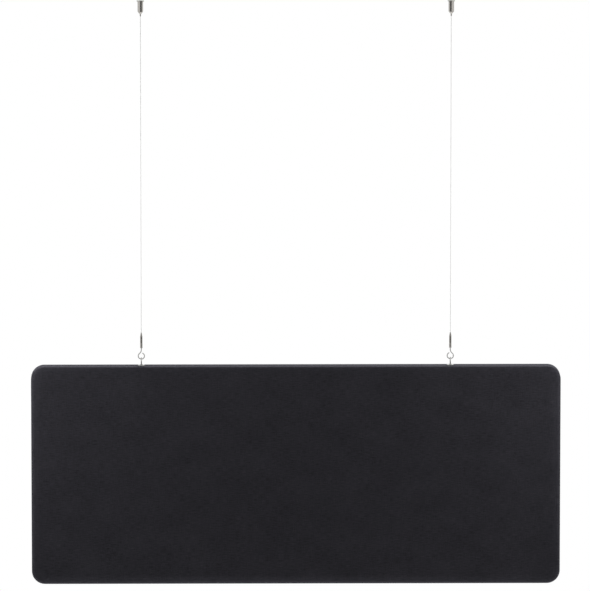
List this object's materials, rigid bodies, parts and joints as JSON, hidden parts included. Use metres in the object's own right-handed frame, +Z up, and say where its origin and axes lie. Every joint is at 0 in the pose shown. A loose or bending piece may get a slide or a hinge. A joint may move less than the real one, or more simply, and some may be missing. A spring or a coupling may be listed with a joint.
{
  "type": "hanging acoustic panel",
  "caption": "Fabric-covered acoustic panel with rounded corners, hung by open hooks on two steel wires from wire grippers on the ceiling.",
  "frame": {"origin": "on the ceiling plane, midway between the two stud holes of the ceiling bases", "axes": "+X along the panel to its right-hand end seen from the front, -Y is the front, +Z up"},
  "size_m": [1.2, 0.05, 1.332],
  "materials": {
    "charcoal_fabric": "woven, matt",
    "white_wadding": "needled fleece",
    "mineral_wool": "bonded fibre slab",
    "pine": "planed",
    "beech": "turned, grooved",
    "plated_steel": "nickel plated, satin",
    "bearing_steel": "ground and polished",
    "spring_steel": "drawn, plain",
    "steel_wire": "stranded, galvanised",
    "dark_steel": "nickel plated, turned",
    "hook_steel": "zinc plated",
    "bright_steel": "bright zinc plated",
    "insert_brass": "plain"
  },
  "bodies": {
    "ceiling_fixings": {"left_ceiling_base": "plated_steel", "left_gripper_housing": "plated_steel", "left_wire_held_end": "steel_wire", "left_gripper_spring": "spring_steel", "right_ceiling_base": "plated_steel", "right_gripper_housing": "plated_steel", "right_wire_held_end": "steel_wire", "right_gripper_spring": "spring_steel"},
    "left_plunger": {"left_release_plunger": "plated_steel", "left_clamping_balls": "bearing_steel"},
    "left_wire": {"left_wire": "steel_wire", "left_wire_stop": "spring_steel"},
    "left_hook": {"left_terminal": "dark_steel", "left_hook_socket": "plated_steel", "left_hook": "hook_steel"},
    "right_plunger": {"right_release_plunger": "plated_steel", "right_clamping_balls": "bearing_steel"},
    "right_wire": {"right_wire": "steel_wire", "right_wire_stop": "spring_steel"},
    "right_hook": {"right_terminal": "dark_steel", "right_hook_socket": "plated_steel", "right_hook": "hook_steel"},
    "panel": {"front_cover": "charcoal_fabric", "rear_cover": "charcoal_fabric", "front_wadding": "white_wadding", "rear_wadding": "white_wadding", "top_rail": "pine", "bottom_rail": "pine", "left_stile": "pine", "right_stile": "pine", "frame_dowels": "beech", "acoustic_core": "mineral_wool", "left_eye_bolt": "hook_steel", "left_washer": "bright_steel", "left_threaded_insert": "insert_brass", "right_eye_bolt": "hook_steel", "right_washer": "bright_steel", "right_threaded_insert": "insert_brass"}
  },
  "joints": [
    {"name": "left_plunger_slide", "type": "slide", "parent": "ceiling_fixings", "child": "left_plunger", "axis": [0, 0, 1], "range_m": [0, 0.0025], "stiffness_N_per_m": 600, "springref_m": -0.002, "deforming": ["left_gripper_spring"]},
    {"name": "left_wire_swing", "type": "hinge", "parent": "ceiling_fixings", "child": "left_wire", "pos_m": [-0.35, 0, -0.036], "axis": [1, 0, 0], "range_deg": [-30, 30]},
    {"name": "left_hook_turn", "type": "hinge", "parent": "left_wire", "child": "left_hook", "pos_m": [-0.35, 0, -0.81703], "axis": [0, 0, 1], "range_deg": [-20, 20]},
    {"name": "right_plunger_slide", "type": "slide", "parent": "ceiling_fixings", "child": "right_plunger", "axis": [0, 0, 1], "range_m": [0, 0.0025], "stiffness_N_per_m": 600, "springref_m": -0.002, "deforming": ["right_gripper_spring"]},
    {"name": "right_wire_swing", "type": "hinge", "parent": "ceiling_fixings", "child": "right_wire", "pos_m": [0.35, 0, -0.036], "axis": [1, 0, 0], "range_deg": [-30, 30]},
    {"name": "right_hook_turn", "type": "hinge", "parent": "right_wire", "child": "right_hook", "pos_m": [0.35, 0, -0.81703], "axis": [0, 0, 1], "range_deg": [-20, 20]},
    {"name": "panel_tilt", "type": "hinge", "parent": "left_wire", "child": "panel", "pos_m": [-0.35, 0, -0.81703], "axis": [1, 0, 0], "range_deg": [-60, 60]}
  ],
  "couplings": [
    {"joint": "right_wire_swing", "follows": "left_wire_swing", "ratio": 1}
  ]
}
